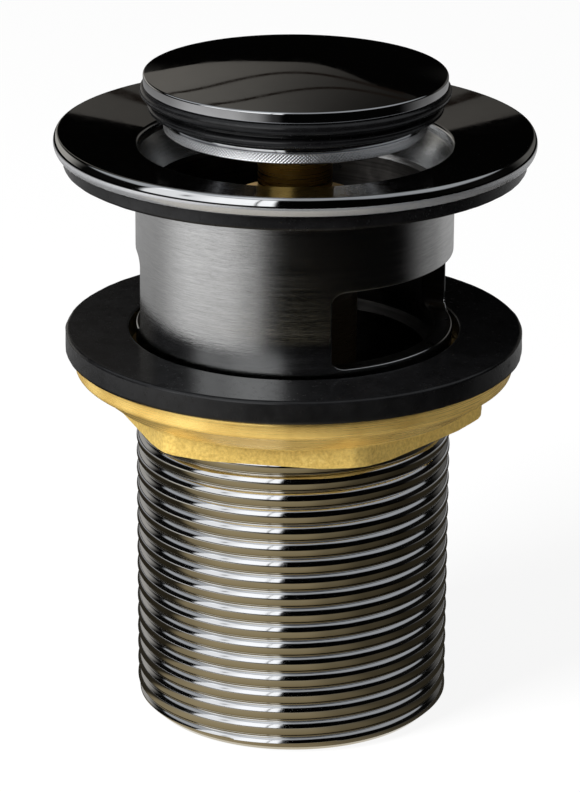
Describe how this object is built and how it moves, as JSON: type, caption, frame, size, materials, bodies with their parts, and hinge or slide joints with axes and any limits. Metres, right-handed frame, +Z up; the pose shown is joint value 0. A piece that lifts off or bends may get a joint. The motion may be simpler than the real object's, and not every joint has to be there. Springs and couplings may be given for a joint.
{
  "type": "pop-up basin waste",
  "caption": "Push-to-open basin waste: chromed flanged body with overflow windows and a threaded tail, sprung domed plug, rubber seals and a brass backnut.",
  "frame": {"origin": "centre of the tail's lower end", "axes": "+Z up the body's axis towards the basin, with the overflow windows facing +X and -X"},
  "size_m": [0.0628, 0.0628, 0.0895],
  "materials": {
    "chrome_body": "bright on the flange, circular brushed on the barrel",
    "chrome_plug": "bright",
    "brass": "as cast and turned, unplated",
    "black_rubber": "semi-gloss moulded",
    "acetal": "moulded",
    "stainless": "drawn wire and sheet"
  },
  "bodies": {
    "body": {"waste_body": "chrome_body", "flange_gasket": "black_rubber", "cartridge_housing": "brass", "guide_bush": "acetal", "snap_ring": "stainless", "stem_o_ring": "black_rubber", "index_sleeve": "acetal", "return_spring": "stainless"},
    "plug": {"plug_cap": "chrome_plug", "plug_hub": "brass", "plug_seal": "black_rubber", "clamp_ring": "chrome_plug", "stem": "brass", "push_crown": "acetal", "thrust_washer": "stainless"},
    "rotor": {"rotor": "acetal"},
    "washer": {"rubber_washer": "black_rubber"},
    "nut": {"backnut": "brass"}
  },
  "joints": [
    {"name": "plug_press", "type": "slide", "parent": "body", "child": "plug", "axis": [0, 0, 1], "range_m": [-0.0085, 0], "stiffness_N_per_m": 900, "springref_m": 0.008, "deforming": ["return_spring"]},
    {"name": "rotor_index", "type": "hinge", "parent": "plug", "child": "rotor", "pos_m": [0, 0, 0.0575], "axis": [0, 0, 1], "range_deg": [-36, 0]},
    {"name": "washer_slide", "type": "slide", "parent": "body", "child": "washer", "axis": [0, 0, 1], "range_m": [-0.03695, 0]},
    {"name": "nut_turn", "type": "hinge", "parent": "washer", "child": "nut", "pos_m": [0, 0, 0.0454], "axis": [0, 0, 1], "range_deg": [-5760, 0]}
  ],
  "couplings": [
    {"joint": "rotor_index", "follows": "plug_press", "rad_per_m": 73.92},
    {"joint": "nut_turn", "follows": "washer_slide", "rad_per_m": 2721.1}
  ]
}
